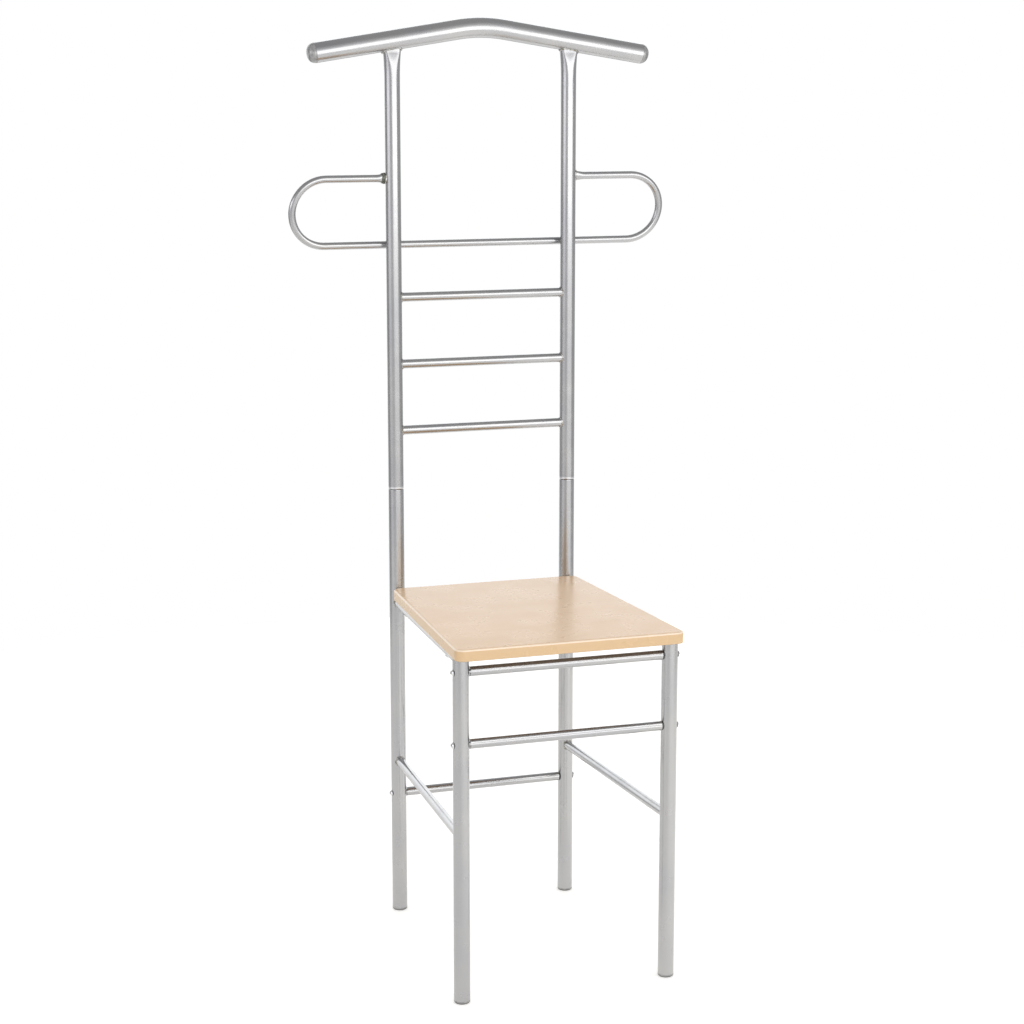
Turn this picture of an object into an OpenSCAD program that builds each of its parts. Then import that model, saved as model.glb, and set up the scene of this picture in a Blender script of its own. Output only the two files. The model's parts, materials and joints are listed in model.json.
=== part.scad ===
// Valet stand: a small chair on four tube legs. Its rear legs carry a plug-in ladder frame
// with three rungs, a trouser bar that loops out past the posts and a bent coat hanger bar.
// Millimetres. +Z is up, -Y is the front, and the origin is on the floor under the middle of
// the stand. The stand is symmetric about the YZ plane: left is -X and right is +X.

/* [Plan] */
// Distance between the centres of the rear legs
rear_spacing = 260; // [240:1:290]
// Distance between the centres of the front legs
front_spacing = 293; // [270:1:320]
// Distance from the front leg centres back to the rear leg centres
frame_depth = 363; // [330:1:390]

/* [Tubes] */
// Outer diameter of the legs and posts
leg_d = 22; // [20:1:25]
// Wall of the legs and posts
leg_wall = 1.2; // [1:0.1:1.5]
// Outer diameter of the rungs, rails and stretchers
rail_d = 13; // [12:0.5:16]
// Wall of the rungs, rails and stretchers
rail_wall = 1; // [0.8:0.1:1.5]

/* [Seat] */
// Height of the top of the seat board
seat_top_z = 490.5; // [470:0.5:510]
// Thickness of the seat board
seat_t = 16; // [15:0.5:18]
// Width of the seat board along its front edge
seat_front_w = 320; // [300:1:340]
// Width of the seat board along its rear edge
seat_rear_w = 280; // [265:1:295]
// How far the seat board reaches out past the front leg centres
seat_overhang = 25; // [15:1:35]
// Radius of the seat board's corners
seat_corner_r = 12; // [6:1:20]

/* [Rails] */
// Height of the front rail just under the seat
front_seat_rail_z = 455; // [445:1:458]
// Height of the lower front rail
front_lower_rail_z = 357; // [320:1:400]
// Height of the lower rear rail
rear_lower_rail_z = 180; // [120:1:210]
// Height of the two side stretchers
stretcher_z = 230; // [225:1:300]

/* [Ladder frame] */
// Height of the joint where the upper posts plug into the rear legs
joint_z = 634; // [560:1:680]
// Length of the reduced end of each upper post, inside the rear leg
spigot_l = 45; // [30:1:60]
// Height of the lowest rung
rung_z = 718; // [700:1:740]
// Distance from one rung to the next
rung_pitch = 95; // [70:1:100]

/* [Trouser bar] */
// Outer diameter of the trouser bar
bar_d = 10.5; // [8:0.5:12]
// Wall of the trouser bar
bar_wall = 1; // [0.8:0.1:1.5]
// Height of the long lower run
bar_z = 981; // [970:1:1020]
// Distance between the lower and the upper run, centre to centre
bar_gap = 95; // [80:1:100]
// Width over the centrelines of the two loops
bar_w = 547; // [480:1:560]

/* [Hanger bar] */
// Outer diameter of the hanger bar
hanger_d = 28; // [25:1:32]
// Wall of the hanger bar
hanger_wall = 1.2; // [1:0.1:1.5]
// Height at which the centrelines of the two arms would cross
hanger_z = 1284; // [1250:1:1300]
// Slope of each arm, in degrees
hanger_slope = 9; // [5:0.5:14]
// Centreline radius of the bend in the middle
hanger_bend_r = 220; // [120:5:240]
// Width of the hanger bar over its end caps
hanger_w = 500; // [440:1:520]

/* [Fasteners] */
// Diameter of the rail bolts
bolt_d = 6; // [5:1:6]
// Diameter of the seat screws
screw_d = 4.5; // [4:0.5:5]

/* [Hidden] */
$fn = 64;

LEFT = -1;
RIGHT = 1;
SIDES = [LEFT, RIGHT];

// Colours
silver = [0.74, 0.74, 0.74];
weld_grey = [0.62, 0.62, 0.62];
plastic_grey = [0.55, 0.55, 0.54];
beech = [0.90, 0.80, 0.68];
zinc = [0.80, 0.80, 0.80];

leg_r = leg_d / 2;
rail_r = rail_d / 2;
leg_inner_d = leg_d - 2 * leg_wall;

// Leg places. The seat board reaches furthest forward, and the trouser bar furthest back.
back_reach = leg_r + bar_d;
stand_depth = seat_overhang + frame_depth + back_reach;
rear_x = rear_spacing / 2;
front_x = front_spacing / 2;
rear_y = stand_depth / 2 - back_reach;
front_y = rear_y - frame_depth;

// Foot caps and leg plugs
foot_t = 4;
foot_round = 2.5;
plug_t = 2;
plug_l = 14;
plug_gap = 0.1;

// Seat board
seat_bottom_z = seat_top_z - seat_t;
seat_front_y = front_y - seat_overhang;
seat_rear_y = rear_y - leg_r - 1;
seat_slant = atan((seat_front_w - seat_rear_w) / 2 / (seat_rear_y - seat_front_y));
side_rail_z = seat_bottom_z - rail_r;
front_leg_top_z = seat_bottom_z - plug_t;

// Places of the seat screws along the side rails, from the rear leg (0) to the front leg (1)
screw_stations = [0.16, 0.82];
screw_bite = 11;
screw_head_d = 8.5;
screw_head_t = 2.6;

// Rail bolts
bolt_head_d = 10;
bolt_head_t = 3;
bolt_hole_d = bolt_d + 0.5;
insert_l = 18;
insert_depth = 14;
rail_end_gap = 0.8;
hex_d = 4.6;

// Half spacing, y and height of each pair of bolts
bolt_rows = [
    [front_x, front_y, front_seat_rail_z],
    [front_x, front_y, front_lower_rail_z],
    [rear_x, rear_y, rear_lower_rail_z]
];

// Spigot of the upper posts
spigot_d = leg_inner_d - 0.3;
shoulder_r = (leg_d - spigot_d) / 2;

// Flattened tops of the upper posts
flat_w = 25.5;
flat_t = 14;
flat_l = 38;
flat_straight = 5;

// Hanger bar
hanger_r = hanger_d / 2;
hanger_tangent = hanger_bend_r * tan(hanger_slope);
cap_face_r = 4;
cap_round = hanger_r - cap_face_r;
cap_rim = 1;
cap_l = 12;
arm_l = hanger_w / 2 / cos(hanger_slope) - cap_rim - cap_round;
// Lowest point of the hanger bar above a rear post
post_top_z = hanger_z - rear_x * tan(hanger_slope) - hanger_r / cos(hanger_slope);
// The posts are round up to the first height and fully flattened from the second
flat_start_z = floor(post_top_z - flat_l);
flat_full_z = floor(post_top_z - flat_straight);

// Trouser bar. It is bent flat and then leans forward, so that its lower run
// lies against the backs of the posts and its upper ends meet their outer sides.
bar_r = bar_d / 2;
bar_back = leg_r + bar_r;
bar_lean = asin(bar_back / bar_gap);
bar_bend_r = bar_gap / 2;
bar_straight = bar_w / 2 - bar_bend_r;
bar_crush_l = 14;
bar_crush_h = 13.5;
bar_crush_t = 7;

// Weld beads stand this far out of both tubes
bead = 1.7;

// A tube along +Z from the origin
module tube(d, wall, l) {
    linear_extrude(l)
        ring(d, wall);
}

module ring(d, wall) {
    difference() {
        circle(d = d);
        circle(d = d - 2 * wall);
    }
}

// Lays a child that runs along +Z from 0 along the line from p to q
module from_to(p, q) {
    v = q - p;
    translate(p)
        rotate([0, acos(v.z / norm(v)), atan2(v.y, v.x)])
            children();
}

// A solid of the outer size of a leg or post, from the floor to above the hanger bar
module leg_space(x, y, extra = 0) {
    translate([x, y, 0])
        cylinder(d = leg_d + 2 * extra, h = hanger_z);
}

// ---------------------------------------------------------------- hanger bar

// The right half of the bent bar, without its cap: an arm, and the bend up to the middle
// plane. The child is the profile. The bend runs past that plane and is cut off on it.
module hanger_half(reach) {
    intersection() {
        translate([0, rear_y, hanger_z - hanger_bend_r / cos(hanger_slope)])
            rotate([90, 0, 0])
                rotate([0, 0, 90 - hanger_slope]) {
                    rotate_extrude(angle = hanger_slope + 1, $fn = 180)
                        translate([hanger_bend_r, 0])
                            children();
                    translate([hanger_bend_r, 0, 0])
                        rotate([90, 0, 0])
                            linear_extrude(reach - hanger_tangent)
                                children();
                }
        translate([0, rear_y - hanger_d, hanger_z - hanger_w])
            cube([hanger_w, 2 * hanger_d, 2 * hanger_w]);
    }
}

module hanger_path(reach) {
    hanger_half(reach)
        children();
    mirror([1, 0, 0])
        hanger_half(reach)
            children();
}

module hanger_space(extra = 0) {
    hanger_path(arm_l)
        circle(r = hanger_r + extra);
}

module hanger_bar() {
    color(silver)
        hanger_path(arm_l)
            ring(hanger_d, hanger_wall);
}

// Plastic cap with a rounded head and a plug inside the tube
module hanger_cap(s) {
    plug_r = hanger_r - hanger_wall - plug_gap;
    color(plastic_grey)
        translate([0, rear_y, hanger_z])
            rotate([0, s * (90 + hanger_slope), 0])
                translate([0, 0, arm_l])
                    rotate_extrude() {
                        translate([0, -cap_l])
                            square([plug_r, cap_l]);
                        square([hanger_r, cap_rim]);
                        square([cap_face_r, cap_rim + cap_round]);
                        translate([cap_face_r, cap_rim])
                            quarter_circle(cap_round);
                    }
}

// -------------------------------------------------------------- ladder frame

// Stadium outline of a tube pressed flat, w wide and t thick
module flat_outline(w, t) {
    for (s = SIDES)
        translate([s * (w - t) / 2, 0])
            circle(d = t);
    square([w - t, t], center = true);
}

// The taper from a round post to its flattened top, inset by the wall for its inside
module post_taper(inset) {
    slice = 0.01;
    hull() {
        translate([0, 0, flat_start_z])
            cylinder(d = leg_d - 2 * inset, h = slice, $fn = 48);
        translate([0, 0, flat_full_z - slice])
            linear_extrude(slice)
                flat_outline(flat_w - 2 * inset, flat_t - 2 * inset);
    }
}

// The flattened end of a post, cut to fit under the hanger bar
module post_flat(s) {
    difference() {
        translate([s * rear_x, rear_y, flat_full_z])
            linear_extrude(hanger_r + flat_straight)
                difference() {
                    flat_outline(flat_w, flat_t);
                    flat_outline(flat_w - 2 * leg_wall, flat_t - 2 * leg_wall);
                }
        hanger_space();
    }
}

// A quarter circle in the first quadrant, or below it if down is true
module quarter_circle(r, down = false) {
    intersection() {
        circle(r = r);
        translate([0, down ? -r : 0])
            square(r);
    }
}

// From below: reduced spigot, rounded shoulder, straight tube, taper and flattened end
module upper_post(s) {
    shoulder_top_z = joint_z + shoulder_r;
    color(silver) {
        translate([s * rear_x, rear_y, 0]) {
            translate([0, 0, joint_z - spigot_l])
                tube(spigot_d, leg_wall, spigot_l);
            translate([0, 0, joint_z])
                rotate_extrude() {
                    translate([spigot_d / 2 - leg_wall, 0])
                        square([leg_wall, shoulder_r]);
                    translate([spigot_d / 2, shoulder_r])
                        quarter_circle(shoulder_r, down = true);
                }
            translate([0, 0, shoulder_top_z])
                tube(leg_d, leg_wall, flat_start_z - shoulder_top_z);
            difference() {
                post_taper(0);
                post_taper(leg_wall);
            }
        }
        post_flat(s);
    }
}

// Number 0 is the lowest rung
function rung_height(number) = rung_z + number * rung_pitch;

// A horizontal tube between the rear posts, cut to fit round them
module rung(number) {
    color(silver)
        difference() {
            translate([-rear_x, rear_y, rung_height(number)])
                rotate([0, 90, 0])
                    tube(rail_d, rail_wall, rear_spacing);
            for (s = SIDES)
                leg_space(s * rear_x, rear_y);
        }
}

// --------------------------------------------------------------- trouser bar

// Carries its children from the bar's own flat plane, where x is the stand's x and y is the
// distance up from the lower run, to the bar's place behind the posts
module bar_plane() {
    translate([0, rear_y + bar_back, bar_z])
        rotate([90 + bar_lean, 0, 0])
            children();
}

// The crushed end of the bar next to the post on side s, inset by the wall for its inside
module bar_crush(s, inset) {
    start_x = rear_x + leg_r + bar_crush_l;
    bar_plane()
        translate([s * start_x, bar_gap, 0])
            rotate([0, -s * 90, 0])
                hull() {
                    cylinder(d = bar_d - 2 * inset, h = 0.01, $fn = 32);
                    translate([0, 0, bar_crush_l - 3])
                        linear_extrude(leg_r, $fn = 32)
                            rotate([0, 0, 90])
                                flat_outline(bar_crush_h - 2 * inset, bar_crush_t - 2 * inset);
                }
}

module trouser_bar() {
    straight_l = bar_straight - rear_x - leg_r - bar_crush_l;
    color(silver)
        difference() {
            union() {
                bar_plane() {
                    translate([-bar_straight, 0, 0])
                        rotate([0, 90, 0])
                            tube(bar_d, bar_wall, 2 * bar_straight);
                    for (s = SIDES) {
                        translate([s * bar_straight, bar_bend_r, 0])
                            rotate([0, 0, s < 0 ? 90 : -90])
                                rotate_extrude(angle = 180, $fn = 96)
                                    translate([bar_bend_r, 0])
                                        ring(bar_d, bar_wall);
                        translate([s * bar_straight, bar_gap, 0])
                            rotate([0, -s * 90, 0])
                                tube(bar_d, bar_wall, straight_l);
                    }
                }
                for (s = SIDES)
                    difference() {
                        bar_crush(s, 0);
                        bar_crush(s, bar_wall);
                    }
            }
            for (s = SIDES)
                leg_space(s * rear_x, rear_y);
        }
}

// ---------------------------------------------------------------------- legs

module bolt_holes() {
    for (row = bolt_rows)
        translate([0, row[1], row[2]])
            rotate([0, 90, 0])
                cylinder(d = bolt_hole_d, h = 2 * row[0] + 4 * leg_d, center = true);
}

// The rim at the top is rounded over the whole wall
module rear_leg(s) {
    straight_l = joint_z - foot_t - leg_wall;
    color(silver)
        difference() {
            translate([s * rear_x, rear_y, foot_t]) {
                tube(leg_d, leg_wall, straight_l);
                translate([0, 0, straight_l])
                    rotate_extrude()
                        translate([leg_inner_d / 2, 0])
                            quarter_circle(leg_wall);
            }
            bolt_holes();
        }
}

module front_leg(s) {
    color(silver)
        difference() {
            translate([s * front_x, front_y, foot_t])
                tube(leg_d, leg_wall, front_leg_top_z - foot_t);
            bolt_holes();
        }
}

// Plastic cap under a leg: a rounded foot with a plug up inside the tube
module foot_cap(x, y) {
    color(plastic_grey)
        translate([x, y, 0])
            rotate_extrude() {
                square([leg_r - foot_round, foot_t]);
                translate([0, foot_round])
                    square([leg_r, foot_t - foot_round]);
                translate([leg_r - foot_round, foot_round])
                    quarter_circle(foot_round, down = true);
                translate([0, foot_t])
                    square([leg_inner_d / 2 - plug_gap, plug_l]);
            }
}

// Plastic plug in the top of a front leg, under the seat board
module leg_plug(s) {
    color(plastic_grey)
        translate([s * front_x, front_y, front_leg_top_z])
            rotate_extrude() {
                square([leg_r, plug_t]);
                translate([0, -plug_l])
                    square([leg_inner_d / 2 - plug_gap, plug_l]);
            }
}

// --------------------------------------------------------------- side frames

function rear_point(s, z) = [s * rear_x, rear_y, z];
function front_point(s, z) = [s * front_x, front_y, z];

// A tube welded between the rear and front leg of one side, cut to fit round them
module side_tube(s, z) {
    difference() {
        from_to(rear_point(s, z), front_point(s, z))
            tube(rail_d, rail_wall, norm(front_point(s, z) - rear_point(s, z)));
        leg_space(s * rear_x, rear_y);
        leg_space(s * front_x, front_y);
    }
}

function screw_place(s, station) =
    rear_point(s, side_rail_z) * (1 - station) + front_point(s, side_rail_z) * station;

module side_seat_rail(s) {
    color(silver)
        difference() {
            side_tube(s, side_rail_z);
            for (station = screw_stations)
                translate(screw_place(s, station))
                    cylinder(d = screw_d + 0.5, h = 2 * rail_d, center = true);
        }
}

module side_stretcher(s) {
    color(silver)
        side_tube(s, stretcher_z);
}

// --------------------------------------------------------------- cross rails

// A straight-cut tube that is bolted between two legs
module cross_rail(half_spacing, y, z) {
    l = 2 * (half_spacing - leg_r - rail_end_gap);
    color(silver)
        translate([-l / 2, y, z])
            rotate([0, 90, 0])
                tube(rail_d, rail_wall, l);
}

// Turns its children, drawn along +Z, to point inward from side s
module inward(s, x, y, z) {
    translate([s * x, y, z])
        rotate([0, -s * 90, 0])
            children();
}

// Threaded steel plugs pressed into the ends of the three cross rails
module rail_inserts() {
    color(zinc)
        for (row = bolt_rows)
            for (s = SIDES)
                inward(s, row[0] - leg_r - rail_end_gap, row[1], row[2])
                    difference() {
                        cylinder(d = rail_d - 2 * rail_wall, h = insert_l);
                        translate([0, 0, -1])
                            cylinder(d = bolt_d, h = insert_depth + 1);
                    }
}

// Pan head socket bolts, one through each leg into each end of a cross rail
module rail_bolts() {
    shank_l = leg_d + rail_end_gap + insert_depth - 2;
    color(zinc)
        for (row = bolt_rows)
            for (s = SIDES)
                inward(s, row[0] + leg_r, row[1], row[2])
                    difference() {
                        union() {
                            cylinder(d = bolt_d, h = shank_l);
                            bolt_head();
                        }
                        translate([0, 0, -bolt_head_t - 1])
                            cylinder(d = hex_d, h = 3, $fn = 6);
                    }
}

// A low dome that bears on the leg, with its crown at -Z
module bolt_head() {
    dome_r = (bolt_head_d * bolt_head_d / 4 + bolt_head_t * bolt_head_t) / (2 * bolt_head_t);
    intersection() {
        translate([0, 0, dome_r - bolt_head_t])
            sphere(r = dome_r);
        translate([0, 0, -bolt_head_t])
            cylinder(d = bolt_head_d, h = bolt_head_t);
    }
}

// ---------------------------------------------------------------------- seat

// Half width of the board at a distance y
function seat_half_w(y) = seat_front_w / 2 - (y - seat_front_y) * tan(seat_slant);

// Centre of a corner's arc. The side's outward normal is [cos(slant), sin(slant)].
function corner_centre(y) = [seat_half_w(y) - seat_corner_r / cos(seat_slant), y];

// The board's outline, with exact arcs at its four corners
module seat_outline() {
    front = corner_centre(seat_front_y + seat_corner_r);
    rear = corner_centre(seat_rear_y - seat_corner_r);
    out = seat_corner_r * [cos(seat_slant), sin(seat_slant)];
    half = [[front.x, seat_front_y], front + out, rear + out, [rear.x, seat_rear_y]];
    other_half = [for (i = [3:-1:0]) [-half[i].x, half[i].y]];
    polygon(concat(half, other_half));
    for (s = SIDES) {
        translate([s * front.x, front.y])
            circle(r = seat_corner_r);
        translate([s * rear.x, rear.y])
            circle(r = seat_corner_r);
    }
}

module seat_board() {
    color(beech)
        difference() {
            translate([0, 0, seat_bottom_z])
                linear_extrude(seat_t)
                    seat_outline();
            for (s = SIDES)
                for (station = screw_stations)
                    translate(screw_place(s, station))
                        cylinder(d = screw_d, h = rail_r + screw_bite);
        }
}

// Pan head screws, up through the side rails into the board
module seat_screws() {
    color(zinc)
        for (s = SIDES)
            for (station = screw_stations)
                translate(screw_place(s, station)) {
                    translate([0, 0, -rail_r])
                        cylinder(d = screw_d, h = rail_d + screw_bite - 1);
                    translate([0, 0, -rail_r - screw_head_t])
                        cylinder(d1 = screw_head_d - 2, d2 = screw_head_d, h = screw_head_t);
                }
}

// --------------------------------------------------------------------- welds

// The bead where a rail of side s meets a leg: the space within one bead of both tubes
module bead_round_rail(x, y, p, q) {
    difference() {
        intersection() {
            from_to(p, q)
                cylinder(d = rail_d + 2 * bead, h = norm(q - p));
            translate([x, y, p.z - rail_d])
                cylinder(r = leg_r + bead, h = 2 * rail_d);
        }
        from_to(p, q)
            cylinder(d = rail_d, h = norm(q - p));
        leg_space(x, y);
    }
}

// The beads of the seat rails stop short of the board above them
module side_frame_welds() {
    clearance = 1.5;
    color(weld_grey)
        difference() {
            for (s = SIDES)
                for (z = [stretcher_z, side_rail_z]) {
                    bead_round_rail(s * rear_x, rear_y, rear_point(s, z), front_point(s, z));
                    bead_round_rail(s * front_x, front_y, front_point(s, z), rear_point(s, z));
                }
            translate([-seat_front_w / 2, seat_front_y, seat_bottom_z - clearance])
                cube([seat_front_w, stand_depth, rail_d]);
        }
}

module rung_welds() {
    color(weld_grey)
        for (number = [0:2])
            for (s = SIDES)
                bead_round_rail(s * rear_x, rear_y,
                    rear_point(s, rung_height(number)), rear_point(-s, rung_height(number)));
}

// Beads round the flattened tops of the posts, under the hanger bar
module hanger_welds() {
    color(weld_grey)
        for (s = SIDES)
            difference() {
                intersection() {
                    translate([s * rear_x, rear_y, flat_full_z])
                        linear_extrude(hanger_d)
                            flat_outline(flat_w + 2 * bead, flat_t + 2 * bead);
                    hanger_space(bead);
                }
                translate([s * rear_x, rear_y, flat_full_z - 1])
                    linear_extrude(hanger_d + 2)
                        flat_outline(flat_w, flat_t);
                hanger_space();
            }
}

// Beads round the crushed ends, and above and below the lower run behind each post
module trouser_bar_welds() {
    run_bead_l = 10;
    color(weld_grey)
        for (s = SIDES) {
            difference() {
                intersection() {
                    bar_plane()
                        translate([s * (rear_x + leg_r + bead), bar_gap, 0])
                            rotate([0, -s * 90, 0])
                                linear_extrude(leg_r)
                                    rotate([0, 0, 90])
                                        flat_outline(bar_crush_h + 2 * bead, bar_crush_t + 2 * bead);
                    leg_space(s * rear_x, rear_y, bead);
                }
                bar_plane()
                    translate([s * (rear_x + leg_r + bead + 1), bar_gap, 0])
                        rotate([0, -s * 90, 0])
                            linear_extrude(leg_d)
                                rotate([0, 0, 90])
                                    flat_outline(bar_crush_h, bar_crush_t);
                leg_space(s * rear_x, rear_y);
            }
            for (up = [-1, 1])
                difference() {
                    translate([s * rear_x - run_bead_l / 2, rear_y + leg_r + bead / 2,
                               bar_z + up * (bar_r - bead / 2)])
                        rotate([0, 90, 0])
                            cylinder(r = 1.4 * bead, h = run_bead_l);
                    leg_space(s * rear_x, rear_y);
                    translate([0, rear_y + bar_back, bar_z])
                        rotate([0, 90, 0])
                            cylinder(d = bar_d, h = bar_w, center = true);
                }
        }
}

// ------------------------------------------------------------------ the part

hanger_bar();
hanger_cap(LEFT);  // hanger_cap_left
hanger_cap(RIGHT);  // hanger_cap_right
upper_post(LEFT);  // upper_post_left
upper_post(RIGHT);  // upper_post_right
rung(2);  // rung_upper
rung(1);  // rung_middle
rung(0);  // rung_lower
trouser_bar();
rear_leg(LEFT);  // rear_leg_left
rear_leg(RIGHT);  // rear_leg_right
front_leg(LEFT);  // front_leg_left
front_leg(RIGHT);  // front_leg_right
side_seat_rail(LEFT);  // side_seat_rail_left
side_seat_rail(RIGHT);  // side_seat_rail_right
side_stretcher(LEFT);  // side_stretcher_left
side_stretcher(RIGHT);  // side_stretcher_right
cross_rail(front_x, front_y, front_seat_rail_z);  // front_seat_rail
cross_rail(front_x, front_y, front_lower_rail_z);  // front_lower_rail
cross_rail(rear_x, rear_y, rear_lower_rail_z);  // rear_lower_rail
rail_inserts();
rail_bolts();
seat_board();
seat_screws();
foot_cap(-rear_x, rear_y);  // foot_cap_rear_left
foot_cap(rear_x, rear_y);  // foot_cap_rear_right
foot_cap(-front_x, front_y);  // foot_cap_front_left
foot_cap(front_x, front_y);  // foot_cap_front_right
leg_plug(LEFT);  // leg_plug_left
leg_plug(RIGHT);  // leg_plug_right
hanger_welds();
rung_welds();
trouser_bar_welds();
side_frame_welds();
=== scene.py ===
"""Valet stand: materials, detailed pieces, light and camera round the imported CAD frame.

Metres, +Z up, -Y the front, left is -X. Places are read from the frame's own boxes; slopes,
bend radii and tube walls repeat the CAD part's.
"""

import json
import math

import bmesh
import bpy
from mathutils import Matrix, Vector


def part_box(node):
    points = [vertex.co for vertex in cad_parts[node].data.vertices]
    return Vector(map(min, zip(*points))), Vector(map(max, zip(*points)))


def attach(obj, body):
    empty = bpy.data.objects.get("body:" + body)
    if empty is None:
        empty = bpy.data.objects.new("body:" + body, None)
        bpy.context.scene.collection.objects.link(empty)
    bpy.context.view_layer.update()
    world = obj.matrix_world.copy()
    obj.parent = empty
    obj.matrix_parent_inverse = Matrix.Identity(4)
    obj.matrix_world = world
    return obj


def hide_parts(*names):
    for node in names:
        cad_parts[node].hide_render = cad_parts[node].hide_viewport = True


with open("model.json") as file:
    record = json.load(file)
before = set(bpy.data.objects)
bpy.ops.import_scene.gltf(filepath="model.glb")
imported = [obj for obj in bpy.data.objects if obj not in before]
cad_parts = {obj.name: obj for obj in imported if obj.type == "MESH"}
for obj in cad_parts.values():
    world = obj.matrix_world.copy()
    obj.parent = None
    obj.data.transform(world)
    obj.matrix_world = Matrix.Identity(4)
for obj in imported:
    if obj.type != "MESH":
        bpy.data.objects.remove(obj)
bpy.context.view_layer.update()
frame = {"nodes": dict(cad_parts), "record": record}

BODY = "root"
MM = 0.001
LEFT, RIGHT = -1, 1
SIDE_NAMES = {LEFT: "left", RIGHT: "right"}


# ------------------------------------------------------------------ node helpers


def new_material(name):
    """An empty node material with its Principled shader and output."""
    material = bpy.data.materials.new(name)
    material.use_nodes = True
    tree = material.node_tree
    tree.nodes.clear()
    output = tree.nodes.new("ShaderNodeOutputMaterial")
    shader = tree.nodes.new("ShaderNodeBsdfPrincipled")
    tree.links.new(shader.outputs["BSDF"], output.inputs["Surface"])
    return material, tree, shader


def coordinates(tree, stretch=(1, 1, 1)):
    """The piece's own coordinates in metres, scaled along each axis."""
    source = tree.nodes.new("ShaderNodeTexCoord")
    mapping = tree.nodes.new("ShaderNodeMapping")
    mapping.inputs["Scale"].default_value = stretch
    tree.links.new(source.outputs["Object"], mapping.inputs["Vector"])
    return mapping.outputs["Vector"]


def component(tree, vector, axis):
    """One axis of a vector socket, named X, Y or Z."""
    node = tree.nodes.new("ShaderNodeSeparateXYZ")
    tree.links.new(vector, node.inputs[0])
    return node.outputs[axis]


def noise(tree, place, scale, detail=2.0, roughness=0.5, distortion=0.0):
    """Soft noise from 0 to 1, with its scale in cycles per metre."""
    node = tree.nodes.new("ShaderNodeTexNoise")
    node.inputs["Scale"].default_value = scale
    node.inputs["Detail"].default_value = detail
    node.inputs["Roughness"].default_value = roughness
    node.inputs["Distortion"].default_value = distortion
    tree.links.new(place, node.inputs["Vector"])
    return node.outputs["Fac"]


def remap(tree, value, old_low, old_high, low, high):
    """Carries value from one range to another, held at both ends."""
    node = tree.nodes.new("ShaderNodeMapRange")
    node.interpolation_type = "SMOOTHSTEP"
    node.inputs["From Min"].default_value = old_low
    node.inputs["From Max"].default_value = old_high
    node.inputs["To Min"].default_value = low
    node.inputs["To Max"].default_value = high
    tree.links.new(value, node.inputs["Value"])
    return node.outputs["Result"]


def blend_colours(tree, factor, first, second):
    """Mixes two colours, each a tuple or a socket."""
    node = tree.nodes.new("ShaderNodeMix")
    node.data_type = "RGBA"
    tree.links.new(factor, node.inputs[0])
    for socket, colour in ((node.inputs[6], first), (node.inputs[7], second)):
        if isinstance(colour, tuple):
            socket.default_value = (*colour, 1)
        else:
            tree.links.new(colour, socket)
    return node.outputs[2]


def math_node(tree, operation, *values):
    """A math node whose inputs are numbers or sockets."""
    node = tree.nodes.new("ShaderNodeMath")
    node.operation = operation
    for socket, value in zip(node.inputs, values):
        if isinstance(value, (int, float)):
            socket.default_value = value
        else:
            tree.links.new(value, socket)
    return node.outputs[0]


def add_bumps(tree, shader, layers):
    """Chains bump nodes. Each layer is a height socket, a strength and a depth in metres."""
    last = None
    for height, strength, depth in layers:
        node = tree.nodes.new("ShaderNodeBump")
        node.inputs["Strength"].default_value = strength
        node.inputs["Distance"].default_value = depth
        tree.links.new(height, node.inputs["Height"])
        if last is not None:
            tree.links.new(last, node.inputs["Normal"])
        last = node.outputs["Normal"]
    tree.links.new(last, shader.inputs["Normal"])


# --------------------------------------------------------------------- materials


def joint_highlight_ring(tree, place):
    """1 on a narrow ring just above the plug-in joint, and 0 elsewhere: the mask of a painted highlight.
    """
    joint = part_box("rear_leg_right")[1].z
    height = component(tree, place, "Z")
    above = remap(tree, height, joint + 0.3 * MM, joint + 0.9 * MM, 0, 1)
    below = remap(tree, height, joint + 3 * MM, joint + 4 * MM, 1, 0)
    return math_node(tree, "MULTIPLY", above, below)


def silver_lacquer():
    """Metallic silver paint over steel tube: fine flake, orange peel and faint handling marks.

    Just above the joint, where the posts were pushed home, a pale ring is a painted highlight.
    """
    material, tree, shader = new_material("silver_lacquer")
    place = coordinates(tree)
    flake = noise(tree, place, 5200, 1)
    cloud = noise(tree, place, 14, 3)
    cool, warm, bright_flake = (0.440, 0.440, 0.447), (0.476, 0.473, 0.466), (0.64, 0.64, 0.64)
    tone = blend_colours(tree, remap(tree, cloud, 0.3, 0.7, 0, 1), cool, warm)
    painted = blend_colours(tree, remap(tree, flake, 0.62, 0.8, 0, 0.35), tone, bright_flake)
    # Painted highlight: a pale ring just above the joint.
    with_joint_highlight = blend_colours(tree, joint_highlight_ring(tree, place), painted, (0.74, 0.74, 0.75))
    tree.links.new(with_joint_highlight, shader.inputs["Base Color"])
    smudge = noise(tree, place, 38, 4, 0.62, 0.4)
    tree.links.new(remap(tree, smudge, 0.35, 0.75, 0.21, 0.30), shader.inputs["Roughness"])
    shader.inputs["Metallic"].default_value = 1.0
    shader.inputs["Coat Weight"].default_value = 0.35
    shader.inputs["Coat Roughness"].default_value = 0.12
    peel = noise(tree, place, 420, 2)
    add_bumps(tree, shader, [(peel, 0.035, 0.0004), (flake, 0.03, 0.00005)])
    return material


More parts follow.
